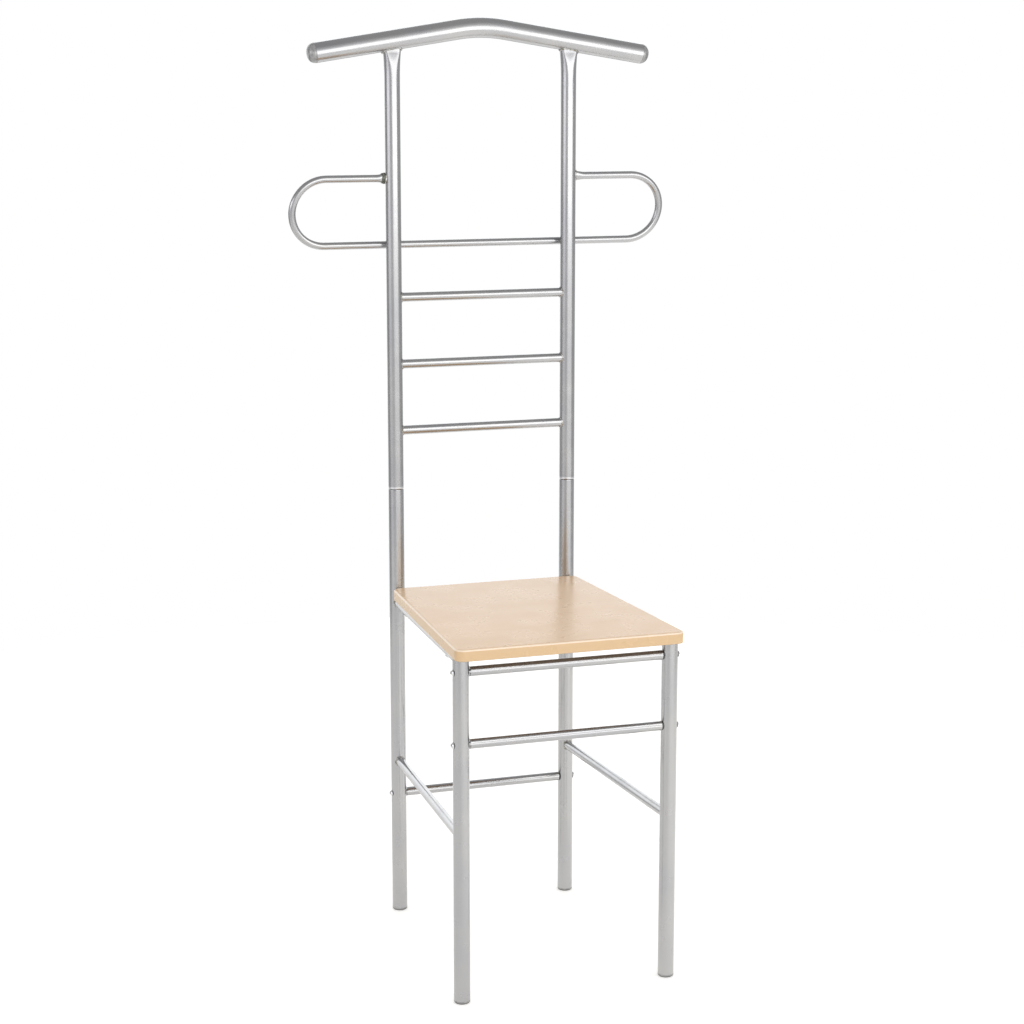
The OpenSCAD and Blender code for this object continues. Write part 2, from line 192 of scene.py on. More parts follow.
def weld_metal():
    """Lacquered weld bead: coarser, with darker and straw-coloured heat marks."""
    material, tree, shader = new_material("weld_metal")
    place = coordinates(tree)
    patch = noise(tree, place, 260, 3, 0.6)
    lacquer, straw = (0.52, 0.515, 0.50), (0.24, 0.225, 0.17)
    colour = blend_colours(tree, remap(tree, patch, 0.42, 0.66, 0, 1), lacquer, straw)
    tree.links.new(colour, shader.inputs["Base Color"])
    tree.links.new(remap(tree, patch, 0.3, 0.7, 0.2, 0.42), shader.inputs["Roughness"])
    shader.inputs["Metallic"].default_value = 1.0
    shader.inputs["Coat Weight"].default_value = 0.3
    spatter = noise(tree, place, 900, 3)
    add_bumps(tree, shader, [(spatter, 0.35, 0.0004)])
    return material


def burnt_weld():
    """Bare weld that the lacquer missed: dark olive scale with a few bright grains."""
    material, tree, shader = new_material("burnt_weld")
    place = coordinates(tree)
    scale = noise(tree, place, 420, 4, 0.65)
    burnt, grain = (0.075, 0.08, 0.065), (0.20, 0.205, 0.17)
    colour = blend_colours(tree, remap(tree, scale, 0.4, 0.66, 0, 1), burnt, grain)
    tree.links.new(colour, shader.inputs["Base Color"])
    tree.links.new(remap(tree, scale, 0.35, 0.7, 0.38, 0.6), shader.inputs["Roughness"])
    shader.inputs["Metallic"].default_value = 0.7
    add_bumps(tree, shader, [(scale, 0.5, 0.0005)])
    return material


def cap_plastic():
    """Silver-grey moulded plastic: cloudy flow marks, eroded texture, and painted shade next to the
    floor.
    """
    material, tree, shader = new_material("cap_plastic")
    place = coordinates(tree)
    cloud = noise(tree, place, 170, 3)
    # The near-black third colour is painted shade, put on the lowest few millimetres where a foot meets
    # the floor.
    dark, light, floor_shade_colour = (0.30, 0.30, 0.298), (0.42, 0.42, 0.41), (0.07, 0.07, 0.066)
    colour = blend_colours(tree, remap(tree, cloud, 0.35, 0.7, 0, 1), dark, light)
    floor_contact_shade = remap(tree, component(tree, place, "Z"), 1.0 * MM, 3.2 * MM, 0.85, 0)
    tree.links.new(blend_colours(tree, floor_contact_shade, colour, floor_shade_colour), shader.inputs["Base Color"])
    grain = noise(tree, place, 2600, 2)
    tree.links.new(remap(tree, cloud, 0.3, 0.7, 0.26, 0.40), shader.inputs["Roughness"])
    shader.inputs["Metallic"].default_value = 0.55
    add_bumps(tree, shader, [(cloud, 0.25, 0.0008), (grain, 0.25, 0.00012)])
    return material


def zinc_plate():
    """Bright zinc on small fasteners, with fine turning marks and slight clouding."""
    material, tree, shader = new_material("zinc_plate")
    place = coordinates(tree)
    cloud = noise(tree, place, 300, 3)
    blue_white, yellow_white = (0.72, 0.73, 0.75), (0.82, 0.81, 0.78)
    colour = blend_colours(tree, remap(tree, cloud, 0.3, 0.7, 0, 1), blue_white, yellow_white)
    tree.links.new(colour, shader.inputs["Base Color"])
    tree.links.new(remap(tree, cloud, 0.3, 0.7, 0.16, 0.3), shader.inputs["Roughness"])
    shader.inputs["Metallic"].default_value = 1.0
    turning = noise(tree, place, 2400, 2)
    add_bumps(tree, shader, [(turning, 0.12, 0.0001)])
    return material


def beech_print(tree, facing_up):
    """The printed pattern, a little deeper where the surface stands upright on the edge band: partly the
    band's own tone and partly painted shade on the upright faces.
    """
    bands = noise(tree, coordinates(tree, (3.0, 30, 30)), 1, 3, 0.5, 0.3)
    flecks = noise(tree, coordinates(tree, (70, 700, 700)), 1, 1)
    dark_band, light_band = (0.755, 0.510, 0.292), (0.775, 0.530, 0.312)
    edge_band_and_side_shade, fleck_brown = (0.69, 0.485, 0.272), (0.56, 0.34, 0.17)
    ground = blend_colours(tree, remap(tree, bands, 0.3, 0.7, 0, 1), dark_band, light_band)
    # Upright faces darker: partly the edge band's own tone, partly painted shade.
    ground = blend_colours(tree, remap(tree, facing_up, 0.05, 0.30, 0.85, 0), ground, edge_band_and_side_shade)
    return blend_colours(tree, remap(tree, flecks, 0.35, 0.80, 0, 0.055), ground, fleck_brown)


def beech_laminate():
    """Printed beech laminate: even pale ground, soft bands and short fine flecks along X.

    The upper arris carries a painted highlight, and the underside is painted dark brown as painted shade
    under the board.
    """
    material, tree, shader = new_material("beech_laminate")
    normal = tree.nodes.new("ShaderNodeNewGeometry").outputs["Normal"]
    facing_up = component(tree, normal, "Z")
    printed = beech_print(tree, facing_up)
    # Painted highlight: a pale line along the upper arris, where the surface turns from up to sideways.
    rising = remap(tree, facing_up, 0.12, 0.40, 0, 1)
    arris = math_node(tree, "MULTIPLY", rising, remap(tree, facing_up, 0.78, 0.97, 1, 0))
    with_arris_highlight = blend_colours(tree, arris, printed, (0.95, 0.78, 0.60))
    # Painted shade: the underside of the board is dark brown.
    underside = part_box("seat_board")[0].z
    height = component(tree, coordinates(tree), "Z")
    underside_shade = remap(tree, height, underside + 0.3 * MM, underside + 0.6 * MM, 1, 0)
    tree.links.new(blend_colours(tree, underside_shade, with_arris_highlight, (0.24, 0.165, 0.11)), shader.inputs["Base Color"])
    wear = noise(tree, coordinates(tree), 22, 4)
    tree.links.new(remap(tree, wear, 0.35, 0.7, 0.27, 0.31), shader.inputs["Roughness"])
    add_bumps(tree, shader, [(noise(tree, coordinates(tree), 240, 2), 0.03, 0.00015)])
    return material


MATERIALS = {
    "silver_lacquer": silver_lacquer(),
    "weld_metal": weld_metal(),
    "burnt_weld": burnt_weld(),
    "cap_plastic": cap_plastic(),
    "zinc_plate": zinc_plate(),
    "beech_laminate": beech_laminate(),
}


def dress_cad_nodes():
    """Gives each carried-over CAD node the node material of its slot in the record."""
    for part in frame["record"]["subparts"]:
        node = frame["nodes"][part["node"]]
        node.data.materials.clear()
        node.data.materials.append(MATERIALS[part["material_slot"]])


# ------------------------------------------------------------- places and sizes


def middle(node):
    """The middle of a CAD node's box."""
    low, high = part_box(node)
    return (low + high) / 2


def half_size(node):
    """Half the size of a CAD node's box."""
    low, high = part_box(node)
    return (high - low) / 2


TUBE_WALL = 1.2 * MM
POST_X = middle("rear_leg_right").x
POST_Y = middle("rear_leg_right").y
POST_R = half_size("foot_cap_rear_right").x
POST_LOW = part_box("upper_post_right")[0].z
JOINT_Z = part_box("rear_leg_right")[1].z
FRONT_X = middle("front_leg_right").x
FRONT_Y = middle("front_leg_right").y
RAIL_R = half_size("rung_upper").z

HANGER_R = half_size("hanger_cap_right").y
HANGER_SLOPE = math.radians(9)
HANGER_BEND_R = 220 * MM
HANGER_TANGENT = HANGER_BEND_R * math.sin(HANGER_SLOPE)
HANGER_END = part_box("hanger_bar")[1].x - HANGER_R * math.sin(HANGER_SLOPE)
HANGER_BEND_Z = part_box("hanger_bar")[1].z - HANGER_R - HANGER_BEND_R

BAR_R = 5.25 * MM
BAR_WALL = 1 * MM
BAR_GAP = 95 * MM
BAR_LEAN = math.asin((POST_R + BAR_R) / BAR_GAP)
BAR_ACROSS = Vector((0, math.cos(BAR_LEAN), math.sin(BAR_LEAN)))
BAR_UP = Vector((0, -math.sin(BAR_LEAN), math.cos(BAR_LEAN)))
BAR_LOW_Y = POST_Y + POST_R + BAR_R
BAR_LOW_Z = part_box("trouser_bar")[0].z + BAR_R
BAR_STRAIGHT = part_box("trouser_bar")[1].x - BAR_R - BAR_GAP / 2

SEAT_LOW, SEAT_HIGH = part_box("seat_board")
SEAT_FRONT_W = 320 * MM
SEAT_REAR_W = 280 * MM
SEAT_CORNER_R = 12 * MM

Y_AXIS, Z_AXIS = Vector((0, 1, 0)), Vector((0, 0, 1))


# ------------------------------------------------------------------ mesh helpers


def turn(count):
    """Evenly spaced angles once round."""
    return [2 * math.pi * i / count for i in range(count)]


def ease(t):
    """0 to 1 with a soft start and end, held outside."""
    t = min(max(t, 0.0), 1.0)
    return t * t * (3 - 2 * t)


def loft(build, rings, closed=False):
    """Skins a run of rings with equal point counts. An open run gets two end faces."""
    loops = [[build.verts.new(point) for point in ring] for ring in rings]
    pairs = list(zip(loops, loops[1:]))
    if closed:
        pairs.append((loops[-1], loops[0]))
    for first, second in pairs:
        for i in range(len(first)):
            j = (i + 1) % len(first)
            build.faces.new((first[i], first[j], second[j], second[i]))
    if not closed:
        build.faces.new(loops[0])
        build.faces.new(loops[-1])


def hollow(build, outer, inner):
    """A closed wall between two runs of rings that start and end together."""
    loft(build, outer + inner[::-1], closed=True)


def add_piece(name, build, slot, nodes=(), crease=35, material=None):
    """Makes a piece from a bmesh. It rides on the body and stands for the CAD nodes."""
    bmesh.ops.recalc_face_normals(build, faces=build.faces)
    mesh = bpy.data.meshes.new(name)
    build.to_mesh(mesh)
    build.free()
    mesh.polygons.foreach_set("use_smooth", [True] * len(mesh.polygons))
    mesh.set_sharp_from_angle(angle=math.radians(crease))
    mesh.materials.append(MATERIALS[material or slot])
    piece = bpy.data.objects.new(name, mesh)
    bpy.context.scene.collection.objects.link(piece)
    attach(piece, BODY)
    if nodes:
        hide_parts(*nodes)
    return piece


def revolve(build, profile, place, count=64):
    """Turns a profile of (radius, height) points round the axis of a placing matrix.

    The profile starts and ends on the axis.
    """
    rings = [
        [place @ Vector((r * math.cos(a), r * math.sin(a), h)) for a in turn(count)]
        for r, h in profile[1:-1]
    ]
    loft(build, rings)


def arc(centre, radius, start, end, steps):
    """Points (along, up) on an arc, from one angle to another in degrees."""
    angles = [math.radians(start + (end - start) * i / steps) for i in range(steps + 1)]
    return [(centre[0] + radius * math.cos(a), centre[1] + radius * math.sin(a)) for a in angles]


def sweep_rings(path, across, section):
    """Rings square to a flat path. section(i) gives the (across, up) points of ring i."""
    steps = [(b - a).normalized() for a, b in zip(path, path[1:])]
    rings = []
    for i, point in enumerate(path):
        along = (steps[max(i - 1, 0)] + steps[min(i, len(steps) - 1)]).normalized()
        up = along.cross(across)
        rings.append([point + u * across + v * up for u, v in section(i)])
    return rings


# -------------------------------------------------------------------- hanger bar


def hanger_axis(x):
    """Height of the hanger bar's axis at a distance from the middle."""
    x = abs(x)
    if x < HANGER_TANGENT:
        return HANGER_BEND_Z + math.sqrt(HANGER_BEND_R**2 - x * x)
    edge = HANGER_BEND_Z + HANGER_BEND_R * math.cos(HANGER_SLOPE)
    return edge - (x - HANGER_TANGENT) * math.tan(HANGER_SLOPE)


def hanger_underside(x, y):
    """Height of the bar's lower surface above a point of the plan."""
    drop = math.sqrt(HANGER_R**2 - (y - POST_Y) ** 2)
    return hanger_axis(x) - drop / math.cos(HANGER_SLOPE)


def make_hanger_bar():
    """One open tube: two straight arms and the smooth bend between them."""
    bend_steps = 24
    bend = [HANGER_TANGENT * (2 * i / bend_steps - 1) for i in range(bend_steps + 1)]
    xs = [-HANGER_END, *bend, HANGER_END]
    path = [Vector((x, POST_Y, hanger_axis(x))) for x in xs]

    def circle(radius):
        return [(radius * math.cos(a), radius * math.sin(a)) for a in turn(72)]

    build = bmesh.new()
    outer = sweep_rings(path, Y_AXIS, lambda i: circle(HANGER_R))
    inner = sweep_rings(path, Y_AXIS, lambda i: circle(HANGER_R - TUBE_WALL))
    hollow(build, outer, inner)
    add_piece("hanger_tube", build, "silver_lacquer", ["hanger_bar"])


FIN_DEPTH = 1.4 * MM


def rib_profile(inner_r, outer_r, start, count, pitch):
    """The ring fins of a tube plug, from its open end to its head."""
    points = []
    for i in range(count):
        low = start + i * pitch
        points += [(inner_r, low), (outer_r, low + pitch * 0.3), (outer_r, low + pitch * 0.5)]
        points += [(inner_r, low + pitch * 0.8)]
    return points


def make_hanger_caps():
    """Rounded end caps: ring fins in the tube, a fine rim, a full head with a gate dimple."""
    rim, rim_r, round_r, plug_l, fin_pitch = 1.0 * MM, 0.4 * MM, 10 * MM, 12 * MM, 2.6 * MM
    plug_r = HANGER_R - TUBE_WALL
    core_r = plug_r - FIN_DEPTH
    head = rim + round_r
    profile = [(0, -plug_l), (core_r, -plug_l)]
    profile += rib_profile(core_r, plug_r - 0.1 * MM, -plug_l + 1 * MM, 4, fin_pitch)
    profile += [(plug_r - 0.2 * MM, -0.5 * MM), (plug_r - 0.2 * MM, 0)]
    profile += arc((HANGER_R - rim_r, rim_r), rim_r, -90, 60, 6)
    profile += arc((HANGER_R - 0.3 * MM - round_r, rim - 0.2 * MM), round_r, 0, 84, 14)
    profile += [(1.5 * MM, head - 0.2 * MM), (1.1 * MM, head - 0.7 * MM), (0, head - 0.8 * MM)]
    for side, name in SIDE_NAMES.items():
        arm_end = Vector((side * HANGER_END, POST_Y, hanger_axis(HANGER_END)))
        tilt = Matrix.Rotation(side * (math.pi / 2 + HANGER_SLOPE), 4, "Y")
        build = bmesh.new()
        revolve(build, profile, Matrix.Translation(arm_end) @ tilt)
        add_piece(f"hanger_end_cap_{name}", build, "cap_plastic", [f"hanger_cap_{name}"])


# ------------------------------------------------------------------ ladder frame

SPIGOT_CLEARANCE = 0.15 * MM
FLATTEN_LENGTH = 38 * MM
FLATTEN_STEPS = 22
FLAT_HALF_WIDTH = 12.75 * MM
FLAT_HALF_DEPTH = 7.7 * MM
ROUND_DEPTH = POST_R * 1.4
UNPRESSED = 10 * POST_R
FLAT_SHARPNESS = 7
WELD_EMBED = 0.4 * MM


def pressed_section(radius, depth, count=96):
    """A circle squeezed front to back: its front and back are cut to flats at the depth."""
    points = []
    for a in turn(count):
        x, y = radius * math.cos(a), radius * math.sin(a)
        shrink = (1 + abs(y / depth) ** FLAT_SHARPNESS) ** (-1 / FLAT_SHARPNESS)
        points.append((x, y * shrink))
    return points


def post_rings(side, inset):
    """Rings of one upper post from its spigot to the hanger bar, inset for the inside."""
    centre_x = side * POST_X
    spigot_r = POST_R - TUBE_WALL - SPIGOT_CLEARANCE
    shoulder = POST_R - spigot_r
    levels = [(POST_LOW, spigot_r, UNPRESSED), (JOINT_Z - 0.5 * MM, spigot_r, UNPRESSED)]
    levels += [
        (height, radius, UNPRESSED)
        for radius, height in arc((spigot_r, JOINT_Z + shoulder), shoulder, -90, 0, 8)
    ]
    top = hanger_underside(POST_X, POST_Y)
    for i in range(FLATTEN_STEPS + 1):
        t = i / FLATTEN_STEPS
        radius = POST_R + (FLAT_HALF_WIDTH - POST_R) * t * t
        depth = ROUND_DEPTH + (FLAT_HALF_DEPTH - ROUND_DEPTH) * t
        levels.append((top - FLATTEN_LENGTH * (1 - t), radius, depth - inset))
    rings = []
    for height, radius, depth in levels:
        ring = pressed_section(radius - inset, depth)
        rings.append([Vector((centre_x + x, POST_Y + y, height)) for x, y in ring])
    for point in rings[-1]:
        point.z = hanger_underside(point.x, point.y) + WELD_EMBED
    return rings


def make_upper_posts():
    """The two posts as open tubes, from their spigots to their pressed tops."""
    for side, name in SIDE_NAMES.items():
        build = bmesh.new()
        hollow(build, post_rings(side, 0), post_rings(side, TUBE_WALL))
        add_piece(f"post_{name}", build, "silver_lacquer", [f"upper_post_{name}"], crease=50)


# ------------------------------------------------------------------- trouser bar

CRUSH_LENGTH = 15 * MM
CRUSH_STEPS = 8
CRUSH_HALF_HEIGHT = 6.75 * MM
CRUSH_HALF_DEPTH = 3.5 * MM


def bar_point(x, up):
    """A point of the bar's leaning plane, up from the lower run."""
    y = BAR_LOW_Y - up * math.sin(BAR_LEAN)
    return Vector((x, y, BAR_LOW_Z + up * math.cos(BAR_LEAN)))


def bar_path():
    """Centreline from the left post's side, round both loops, to the right post's side."""
    bend_r = BAR_GAP / 2
    contact = POST_X + POST_R - 1 * MM
    upper = [(contact + CRUSH_LENGTH * i / CRUSH_STEPS, BAR_GAP) for i in range(CRUSH_STEPS + 1)]
    loop = arc((BAR_STRAIGHT, bend_r), bend_r, 90, -90, 40)
    half = upper + loop
    left = [bar_point(-x, up) for x, up in half]
    right = [bar_point(x, up) for x, up in half]
    return left + right[::-1]


def make_trouser_bar():
    """One open tube with two loops, crushed at both ends and cut to fit the posts."""
    path = bar_path()
    last = len(path) - 1

    def section(inset):
        def at(i):
            crush = 1 - ease(min(i, last - i) / CRUSH_STEPS)
            wide = BAR_R + (CRUSH_HALF_DEPTH - BAR_R) * crush - inset
            tall = BAR_R + (CRUSH_HALF_HEIGHT - BAR_R) * crush - inset
            return [(wide * math.cos(a), tall * math.sin(a)) for a in turn(40)]

        return at

    def fit_to_post(rings):
        for ring in (rings[0], rings[-1]):
            for point in ring:
                reach = math.sqrt(max(POST_R**2 - (point.y - POST_Y) ** 2, 0))
                point.x = math.copysign(POST_X + reach - 0.2 * MM, point.x)
        return rings

    build = bmesh.new()
    outer = fit_to_post(sweep_rings(path, BAR_ACROSS, section(0)))
    inner = fit_to_post(sweep_rings(path, BAR_ACROSS, section(BAR_WALL)))
    hollow(build, outer, inner)
    add_piece("trouser_bar_tube", build, "silver_lacquer", ["trouser_bar"])


# ------------------------------------------------------------------------- welds

RUNG_BEAD = 1.25 * MM
FRAME_BEAD = 1.2 * MM
HANGER_BEAD = 1.2 * MM
CRUSHED_END_BEAD = 1.5 * MM
SHORT_BEAD = 2.0 * MM
SHORT_BEAD_LENGTH = 11 * MM
LUMP_STEPS = 12


def bead_loop(build, path, size, phase, heavy_sides=0.0):
    """A bead round a joint, facing out from its middle. It may be heavier at its first point
    and opposite it, where the welder started and stopped.
    """
    centre = sum(path, Vector()) / len(path)
    count = len(path)
    rings = []
    for i, point in enumerate(path):
        along = (path[(i + 1) % count] - path[i - 1]).normalized()
        out = point - centre
        out = (out - out.dot(along) * along).normalized()
        up = along.cross(out)
        swell = 1 + 0.14 * math.sin(1.3 * i + phase) + 0.12 * math.sin(0.47 * i + 2 * phase)
        side = abs(math.cos(2 * math.pi * i / count)) ** 6
        radius = size * swell * (1 + heavy_sides * side)
        rings.append([point + radius * (math.cos(a) * out + math.sin(a) * up) for a in turn(10)])
    loft(build, rings, closed=True)


def saddle(start, toward):
    """The curve where a rail, run from a post's axis towards a point, leaves the post."""
    along = (toward - start).normalized()
    side = along.cross(Z_AXIS)
    curve = []
    for a in turn(48):
        rim = start + RAIL_R * (math.cos(a) * side + math.sin(a) * Z_AXIS)
        dx, dy = rim.x - start.x, rim.y - start.y
        b = dx * along.x + dy * along.y
        c = dx * dx + dy * dy - POST_R * POST_R
        reach = -b + math.sqrt(max(b * b - c, 0))
        curve.append(rim + reach * along)
    return curve


def make_rung_welds():
    """Beads at both ends of the three rungs."""
    build = bmesh.new()
    for number, node in enumerate(("rung_lower", "rung_middle", "rung_upper")):
        z = middle(node).z
        for side in (LEFT, RIGHT):
            start = Vector((side * POST_X, POST_Y, z))
            curve = saddle(start, Vector((0, POST_Y, z)))
            bead_loop(build, curve, RUNG_BEAD, 1.7 * number + side)
    add_piece("rung_weld_beads", build, "weld_metal", ["rung_welds"])


def make_side_frame_welds():
    """Beads at both ends of the side rails and stretchers, kept below the seat board."""
    highest = SEAT_LOW.z - 1.3 * MM
    build = bmesh.new()
    for side in (LEFT, RIGHT):
        for node in ("side_stretcher_right", "side_seat_rail_right"):
            z = middle(node).z
            rear = Vector((side * POST_X, POST_Y, z))
            front = Vector((side * FRONT_X, FRONT_Y, z))
            for start, toward in ((rear, front), (front, rear)):
                curve = saddle(start, toward)
                for point in curve:
                    point.z = min(point.z, highest)
                bead_loop(build, curve, FRAME_BEAD, 3 * z / RAIL_R + side)
    add_piece("side_frame_weld_beads", build, "weld_metal", ["side_frame_welds"])


def make_hanger_welds():
    """Beads where the pressed tops of the posts meet the hanger bar."""
    build = bmesh.new()
    for side in (LEFT, RIGHT):
        curve = []
        for x, y in pressed_section(FLAT_HALF_WIDTH, FLAT_HALF_DEPTH, 56):
            place_x, place_y = side * POST_X + x, POST_Y + y
            curve.append(Vector((place_x, place_y, hanger_underside(place_x, place_y))))
        bead_loop(build, curve, HANGER_BEAD, 2.2 * side, heavy_sides=0.9)
    add_piece("hanger_weld_beads", build, "weld_metal", ["hanger_welds"])


def make_trouser_bar_welds():
    """Beads round the crushed ends, and short ones above and below the run behind each post."""
    build = bmesh.new()
    for side in (LEFT, RIGHT):
        curve = []
        for a in turn(40):
            offset = CRUSH_HALF_DEPTH * math.cos(a)
            up = CRUSH_HALF_HEIGHT * math.sin(a)
            y = POST_Y + offset * math.cos(BAR_LEAN) - up * math.sin(BAR_LEAN)
            z = bar_point(0, BAR_GAP).z + up * math.cos(BAR_LEAN) + offset * math.sin(BAR_LEAN)
            x = POST_X + math.sqrt(POST_R**2 - (y - POST_Y) ** 2)
            curve.append(Vector((side * x, y, z)))
        bead_loop(build, curve, CRUSHED_END_BEAD, 1.1 * side)
        for up in (-1, 1):
            short_bead(build, side, up)
    add_piece("trouser_bar_weld_beads", build, "weld_metal", ["trouser_bar_welds"])
    make_bare_weld()


def make_bare_weld():
    """The lumpy unpainted weld that closes the bar's left end against its post."""
    length, embed = 10 * MM, 2 * MM
    half_depth, half_height = CRUSH_HALF_DEPTH + 1.3 * MM, CRUSH_HALF_HEIGHT + 0.9 * MM
    end = bar_point(-(POST_X + POST_R), BAR_GAP)
    rings = []
    for i in range(LUMP_STEPS + 1):
        t = i / LUMP_STEPS
        bulge = 0.35 + 0.65 * math.sin(math.pi * (0.15 + 0.80 * t)) ** 0.45
        centre = end + Vector((embed - length * t, 0, 0))
        ring = []
        for a in turn(28):
            lump = 1 + 0.05 * math.sin(3 * a + 5 * t) + 0.04 * math.sin(7 * a - 9 * t)
            across = half_depth * bulge * lump * math.cos(a)
            up = half_height * bulge * lump * math.sin(a)
            ring.append(centre + across * BAR_ACROSS + up * BAR_UP)
        rings.append(ring)
    build = bmesh.new()
    loft(build, rings)
    nodes = ["trouser_bar_welds"]
    add_piece("trouser_bar_bare_weld", build, "weld_metal", nodes, material="burnt_weld")


def short_bead(build, side, up):
    """A spindle-shaped bead in the corner between a post's back and the lower run."""
    y = BAR_LOW_Y - BAR_R + 0.6 * MM
    z = BAR_LOW_Z + up * (BAR_R - 0.9 * MM)
    rings = []
    for i in range(LUMP_STEPS + 1):
        t = i / LUMP_STEPS
        x = side * POST_X + SHORT_BEAD_LENGTH * (t - 0.5)
        taper = 0.25 + 0.75 * math.sin(math.pi * t) ** 0.6
        radius = SHORT_BEAD * taper * (1 + 0.1 * math.sin(9 * t + side))
        ring = [(radius * math.cos(a), radius * math.sin(a)) for a in turn(14)]
        rings.append([Vector((x, y + out, z + rise)) for out, rise in ring])
    loft(build, rings)


# -------------------------------------------------------------------------- seat

ARRIS_R = 3.2 * MM
LOWER_ARRIS_R = 1.2 * MM


def seat_outline(inset):
    """The board's outline, drawn in by the inset, with round corners."""
    slant = math.atan((SEAT_FRONT_W - SEAT_REAR_W) / 2 / (SEAT_HIGH.y - SEAT_LOW.y))
    radius = SEAT_CORNER_R - inset
    points = []
    for y, outward in ((SEAT_LOW.y, -1), (SEAT_HIGH.y, 1)):
        half_w = SEAT_FRONT_W / 2 if outward < 0 else SEAT_REAR_W / 2
        centre_y = y - outward * SEAT_CORNER_R
        edge_x = half_w + outward * SEAT_CORNER_R * math.tan(slant)
        centre_x = edge_x - SEAT_CORNER_R / math.cos(slant)
        first, final = (-90, math.degrees(slant)) if outward < 0 else (math.degrees(slant), 90)
        points += arc((centre_x, centre_y), radius, first, final, 14)
    return points + [(-x, y) for x, y in reversed(points)]


def quarter(steps):
    """(cosine, sine) pairs from a quarter turn down to zero."""
    angles = [math.pi / 2 * (1 - i / steps) for i in range(steps + 1)]
    return [(math.cos(a), math.sin(a)) for a in angles]


def make_seat_board():
    """The board, with a soft upper arris and a small lower one."""
    low, high = SEAT_LOW.z, SEAT_HIGH.z
    levels = [(LOWER_ARRIS_R * (1 - c), low + LOWER_ARRIS_R * (1 - s)) for c, s in quarter(4)]
    levels += [(ARRIS_R * (1 - c), high - ARRIS_R * (1 - s)) for c, s in reversed(quarter(8))]
    rings = [[Vector((x, y, z)) for x, y in seat_outline(inset)] for inset, z in levels]
    build = bmesh.new()
    loft(build, rings)
    add_piece("seat_panel", build, "beech_laminate", ["seat_board"])


# --------------------------------------------------------------------- foot caps


def make_foot_caps():
    """Moulded feet: a rounded base with a thin parting groove, and ring fins in the leg."""
    plug_r = POST_R - TUBE_WALL
    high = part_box("foot_cap_rear_left")[1].z
    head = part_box("rear_leg_left")[0].z
    round_r, dish = 2.5 * MM, 0.4 * MM
    profile = [(0, dish), (POST_R * 0.45, dish), (POST_R * 0.5, 0)]
    profile += arc((POST_R - round_r, round_r), round_r, -90, 0, 8)
    profile += [(POST_R, head - 0.3 * MM), (POST_R - 0.3 * MM, head), (plug_r - 0.2 * MM, head)]
    profile += rib_profile(plug_r - FIN_DEPTH, plug_r - 0.1 * MM, head + 1 * MM, 4, 3 * MM)
    profile += [(plug_r - FIN_DEPTH, high), (0, high)]
    for corner in ("rear_left", "rear_right", "front_left", "front_right"):
        node = f"foot_cap_{corner}"
        place = middle(node)
        build = bmesh.new()
        revolve(build, profile, Matrix.Translation((place.x, place.y, 0)))
        add_piece(f"foot_{corner}", build, "cap_plastic", [node])


dress_cad_nodes()
make_hanger_bar()
make_hanger_caps()
make_upper_posts()
make_trouser_bar()
make_rung_welds()
make_side_frame_welds()
make_hanger_welds()
make_trouser_bar_welds()
make_seat_board()
make_foot_caps()


# ------------------------------------------------------------- floor, light, camera

FLOOR_RADIUS = 2.0
FLOOR_GLOW = 0.5
REFLECTED_GLOW = (0.32, 0.54)


def floor_glow(tree, place):
    """Even and bright for the camera, and dimmer with a fall to the left for everything else."""
    reflected = remap(tree, component(tree, place, "X"), -0.6, 0.6, *REFLECTED_GLOW)
    direct = tree.nodes.new("ShaderNodeLightPath").outputs["Is Camera Ray"]
    return math_node(tree, "MAXIMUM", reflected, math_node(tree, "MULTIPLY", direct, FLOOR_GLOW))


def add_studio_mesh(name, build, material):
    """Makes an object of the studio, which is not part of the stand."""
    mesh = bpy.data.meshes.new(name)
    build.to_mesh(mesh)
    build.free()
    mesh.materials.append(material)
    thing = bpy.data.objects.new(name, mesh)
    bpy.context.scene.collection.objects.link(thing)
    return thing


def make_floor():
    """A pale, softly lit round floor under the stand."""
    build = bmesh.new()
    bmesh.ops.create_circle(build, cap_ends=True, segments=96, radius=FLOOR_RADIUS)
    material, tree, shader = new_material("floor_white")
    place = coordinates(tree)
    tone = blend_colours(tree, noise(tree, place, 2), (0.80, 0.797, 0.79), (0.82, 0.817, 0.81))
    tree.links.new(tone, shader.inputs["Base Color"])
    shader.inputs["Roughness"].default_value = 0.9
    shader.inputs["Specular IOR Level"].default_value = 0.1
    shader.inputs["Emission Color"].default_value = (1, 0.985, 0.95, 1)
    tree.links.new(floor_glow(tree, place), shader.inputs["Emission Strength"])
    floor = add_studio_mesh("floor", build, material)


# Soft panels round the studio, as seen from the stand. Azimuth 0 is the front and 90 the
# right. Each has its middle, half width, lowest and highest edge in degrees, and its colour.
STUDIO_DARK = (0.46, 0.46, 0.47)
PANELS = [
    (96, 46, -40, 8, (0.56, 0.56, 0.57)),
    (-36, 24, -40, 12, (0.74, 0.74, 0.76)),
    (17, 34, -40, 50, (0.64, 0.64, 0.65)),
    (17, 34, -40, 30, (1.05, 1.05, 1.07)),
    (17, 33, -5, 14, (2.40, 2.40, 2.42)),
    (-77, 21, -40, 14, (0.84, 0.84, 0.87)),
    (-77, 21, -3, 14, (2.10, 2.10, 2.20)),
    (172, 45, 6, 32, (1.62, 1.66, 1.70)),
    (180, 30, -14, 10, (1.30, 1.31, 1.33)),
]
PANEL_SOFTNESS = 5


